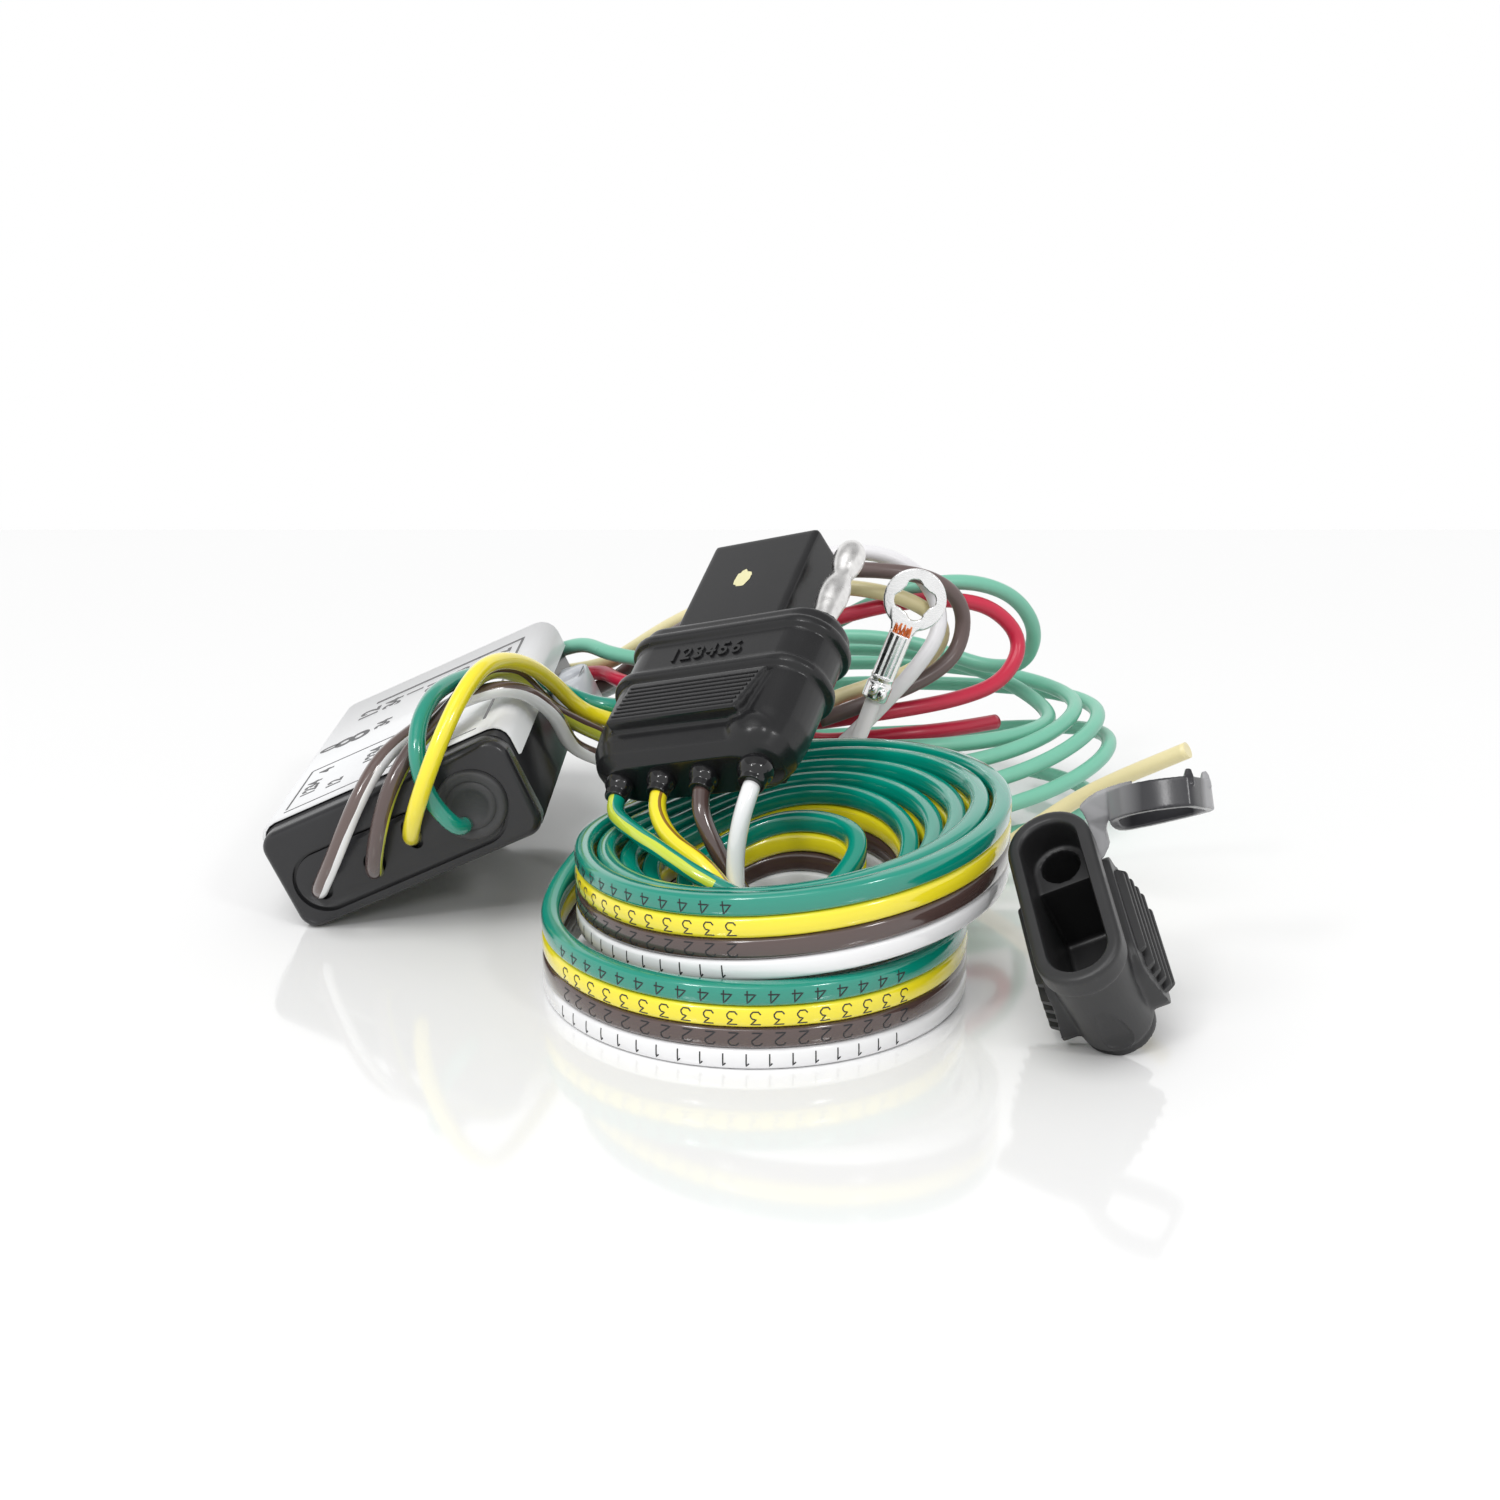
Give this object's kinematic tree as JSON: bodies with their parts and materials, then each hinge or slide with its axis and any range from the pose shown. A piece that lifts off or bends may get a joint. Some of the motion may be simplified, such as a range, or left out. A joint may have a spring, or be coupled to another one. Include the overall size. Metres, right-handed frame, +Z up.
{
  "type": "trailer wiring connector",
  "caption": "Trailer light wiring kit: converter box, coiled ribbon of wires to a moulded flat plug, rubber dust cap on a strap, ring terminal and loose rear leads.",
  "frame": {"origin": "on the surface the kit lies on, below the middle of its rigid pieces: box, plug, cap and strap", "axes": "+X runs from the converter box past the plug to the cap, +Y away from the coiled front, +Z up from the surface"},
  "size_m": [0.1331, 0.1299, 0.0534],
  "materials": {
    "case_black": "satin moulded black",
    "plug_black": "glossy black",
    "moulded_rubber": "satin black",
    "strap_rubber": "satin black",
    "label_silver": "silver foil label",
    "ear_grey": "light grey moulded",
    "board_green": "green solder mask",
    "spreader_aluminium": "brushed",
    "package_black": "matte black",
    "capacitor_blue": "blue sleeve",
    "sleeve_brass": "bright",
    "pin_nickel": "bright plated",
    "terminal_tin": "bright tin plated",
    "strand_copper": "bare copper",
    "wire_green": "glossy insulation",
    "wire_yellow": "glossy insulation",
    "wire_brown": "glossy insulation",
    "wire_white": "glossy insulation",
    "wire_pale_green": "satin insulation",
    "wire_red": "satin insulation",
    "wire_cream": "satin insulation"
  },
  "bodies": {
    "harness": {"case_shell": "case_black", "end_plug": "plug_black", "wire_grommet": "plug_black", "label_plate": "label_silver", "mounting_ear": "ear_grey", "rear_gland": "moulded_rubber", "circuit_board": "board_green", "heat_spreader": "spreader_aluminium", "power_switch_1": "package_black", "power_switch_2": "package_black", "power_switch_3": "package_black", "storage_capacitor": "capacitor_blue", "connector_body": "moulded_rubber", "socket_sleeve_1": "sleeve_brass", "socket_sleeve_2": "sleeve_brass", "socket_sleeve_3": "sleeve_brass", "bullet_pin": "pin_nickel", "ring_terminal": "terminal_tin", "crimped_strands": "strand_copper", "coil_white": "wire_white", "coil_brown": "wire_brown", "coil_yellow": "wire_yellow", "coil_green": "wire_green", "hank_green": "wire_pale_green", "lead_white": "wire_white", "lead_brown": "wire_brown", "lead_yellow": "wire_yellow", "lead_green": "wire_green", "tail_white": "wire_white", "tail_brown": "wire_brown", "tail_yellow": "wire_yellow", "tail_green": "wire_green", "feed_green": "wire_pale_green", "rear_red": "wire_red", "rear_cream": "wire_cream", "rear_brown": "wire_brown", "rear_white": "wire_white"},
    "cap": {"dust_cap": "moulded_rubber"},
    "strap": {"cap_strap": "strap_rubber"}
  },
  "joints": [
    {"name": "cap_place", "type": "slide", "parent": "harness", "child": "cap", "axis": [1, 0, 0], "range_m": [0, 0.04]},
    {"name": "strap_flex", "type": "hinge", "parent": "cap", "child": "strap", "pos_m": [0.05083, -0.03281, 0.02335], "axis": [0.0901, -0.9006, -0.4253], "range_deg": [-30, 30], "stiffness_Nm_per_rad": 0.003}
  ]
}
